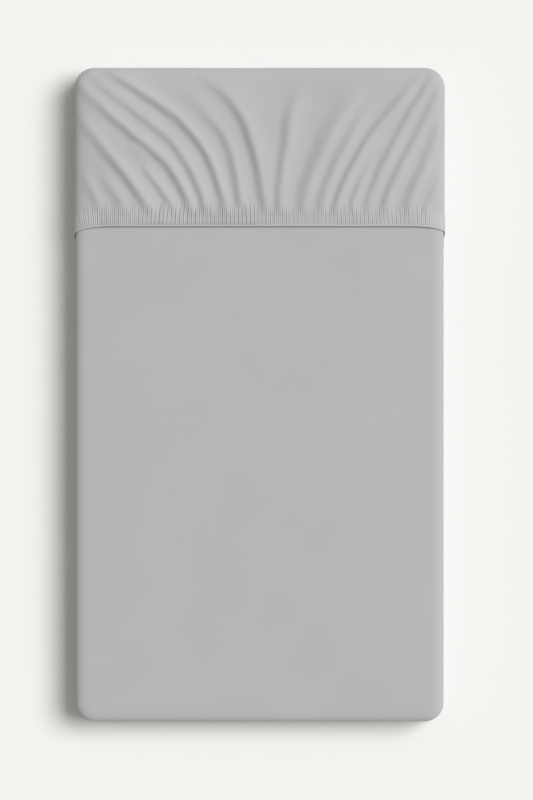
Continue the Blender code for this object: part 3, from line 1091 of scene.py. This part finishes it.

# %% [markdown]
# ### The doubled hem
# Where the hem is turned under, two layers lie on each other and the stitches are drawn close. Its
# grey is made a little paler, partly for the doubled cloth and partly as painted light that offsets
# the shade in its deep gathers. A second material would end in a hard line. So the points of the
# band carry a number that raises the value of the dye.

# %% Make the doubled hem a little paler, with painted light
HEM_PAINTED_LIGHT = 0.06
LAST_SHARE = 0.5
MARKED_ROWS = len(ROLL)
doubled_and_lit = np.zeros(len(sheet.data.vertices), dtype=np.float32)
doubled_and_lit[band[:MARKED_ROWS].ravel()] = 1.0
doubled_and_lit[band[MARKED_ROWS]] = LAST_SHARE
sheet.data.attributes.new("doubled_and_lit", "FLOAT", "POINT").data.foreach_set("value", doubled_and_lit)
jersey_tree = jersey_shader.id_data
jersey_dye_and_shade = jersey_shader.inputs["Base Color"].links[0].from_node
mark = add_node(jersey_tree, "ShaderNodeAttribute", {"attribute_name": "doubled_and_lit"}, {})
# painted light: the band's dye is lifted to offset the shade of its gathers
hem_light_value = add_node(jersey_tree, MATHS, {"operation": "MULTIPLY_ADD"},
                     {0: (mark, "Fac"), 1: HEM_PAINTED_LIGHT, 2: 1.0})
hem_lit_dye = add_node(jersey_tree, "ShaderNodeHueSaturation", {},
                     {"Value": hem_light_value, "Color": jersey_dye_and_shade})
fill_inputs(jersey_shader, {"Base Color": hem_lit_dye})
print("points of doubled cloth:", int((doubled_and_lit > 0).sum()))

# %% [markdown]
# ### Stretch-knit mattress cover
# A polyester knit, finer and flatter than the sheet, heat-set so that it lies smooth. It takes
# nearly the same grey but shows no gathers, so it reads as one smooth plane with only faint changes
# of tone. Its real stitches are half a millimetre wide and are drawn twice as coarse. Polyester
# fibre has an IOR of about 1.57.

# %% Finish the mattress
POLYESTER_IOR = 1.57
COVER_WALE, COVER_COURSE = 1.0 * MM, 1.0 * MM
COVER_DEPTH, COVER_STRENGTH = 0.05 * MM, 0.35
cover_shader = dye_and_knit(mattress, "stretch_knit_cover", "#B0B0B0", "#B4B4B4",
                            COVER_WALE, COVER_COURSE, COVER_DEPTH, COVER_STRENGTH)
fill_inputs(cover_shader, {"IOR": POLYESTER_IOR, "Roughness": 0.92, "Sheen Weight": 0.06})

# %% [markdown]
# ## What rides on what
# Nothing moves, so both pieces ride on the one body.

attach(sheet, "root")
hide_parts("fitted_sheet")

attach(mattress, "root")
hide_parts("mattress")
print("pieces:", sheet.name, "and", mattress.name)

# %% [markdown]
# ## Floor
# A plain pale floor, as a matt painted board. Matt paint scatters nearly all light, so it shows
# only the soft shadow. One large square is enough.

# %% Floor
FLOOR_SIZE = 30.0
floor_mesh = bpy.data.meshes.new("pale_floor")
floor_bm = bmesh.new()
bmesh.ops.create_grid(floor_bm, x_segments=1, y_segments=1, size=FLOOR_SIZE / 2)
floor_bm.to_mesh(floor_mesh)
floor_bm.free()
floor = put_in_scene("pale_floor", floor_mesh)
floor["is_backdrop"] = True
print("floor, m:", FLOOR_SIZE)

# %% Matt paint of the floor
PAINT_IOR = 1.5
fill_inputs(new_shader(floor, "matt_wall_paint"),
            {"Base Color": linear("#EEEFEC"), "IOR": PAINT_IOR, "Roughness": 0.95,
             "Specular IOR Level": 0.1})

# %% [markdown]
# ## Light
# The shadow lies to the left and a little to the foot, with a wide soft edge. That is one large
# light on the right, rather high and turned a little to the head. An area lamp could make it, but
# a sun lamp with a wide angle is equally soft everywhere. A pale surround fills the shadows. Light
# off walls is a little warmer, so the surround is too, and a lamp that is a little cooler keeps the
# greys neutral.

# %% Soft key light
KEY_TURN, KEY_HEIGHT, KEY_WIDTH = math.radians(22), math.radians(54.5), math.radians(37)
KEY_ENERGY = 2.79
key = bpy.data.lights.new("soft_key", "SUN")
key.energy = KEY_ENERGY
key.color = linear("#FCFDFF")[:3]
key.angle = KEY_WIDTH
level = math.cos(KEY_HEIGHT)
towards = Vector((math.cos(KEY_TURN) * level, math.sin(KEY_TURN) * level, math.sin(KEY_HEIGHT)))
key_lamp = put_in_scene("soft_key", key)
key_lamp.rotation_euler = towards.to_track_quat("Z", "Y").to_euler()
print("key light from", [round(v, 2) for v in towards])

# %% Pale surround
FILL_STRENGTH = 0.345
surround = bpy.data.worlds.new("pale_surround")
surround.use_nodes = True
fill_inputs(surround.node_tree.nodes["Background"],
            {"Color": linear("#FFFCF7"), "Strength": FILL_STRENGTH})
bpy.context.scene.world = surround
bpy.context.scene.view_settings.view_transform = "Standard"
print("surround strength:", FILL_STRENGTH)

# %% [markdown]
# ## Camera
# The picture looks straight down with no perspective to speak of, so the camera is high up with a
# long lens. One pixel is 1.361 mm at 40 mm above the floor, near the widest part of the walls, and
# the middle of the picture lies a few pixels from the middle of the mattress.

# %% Camera
PHOTO_WIDTH, PHOTO_HEIGHT = 533, 800
MM_PER_PIXEL = 1.361
MIDDLE_PIXEL = (259.7, 394.15)
CAMERA_HEIGHT, SCALE_HEIGHT, FARTHEST = 5.0, 0.04, 100.0
camera_data = bpy.data.cameras.new("camera")
camera = put_in_scene("camera", camera_data)
view_x = (PHOTO_WIDTH / 2 - MIDDLE_PIXEL[0]) * MM_PER_PIXEL * MM
view_y = (MIDDLE_PIXEL[1] - PHOTO_HEIGHT / 2) * MM_PER_PIXEL * MM
camera.location = (view_x, view_y, CAMERA_HEIGHT + SCALE_HEIGHT)
view_length = PHOTO_HEIGHT * MM_PER_PIXEL * MM
camera_data.lens = camera_data.sensor_width * CAMERA_HEIGHT / view_length
camera_data.clip_end = FARTHEST
bpy.context.scene.camera = camera
print("lens, mm:", round(camera_data.lens, 1))

# %% [markdown]
# ## Sizes
# Cloth may stand a little proud of the imported model, and no more. Both boxes are printed, so that
# the two can be compared.

# %% Print the sizes
visual_low, visual_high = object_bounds()
show("visual model", visual_high - visual_low)
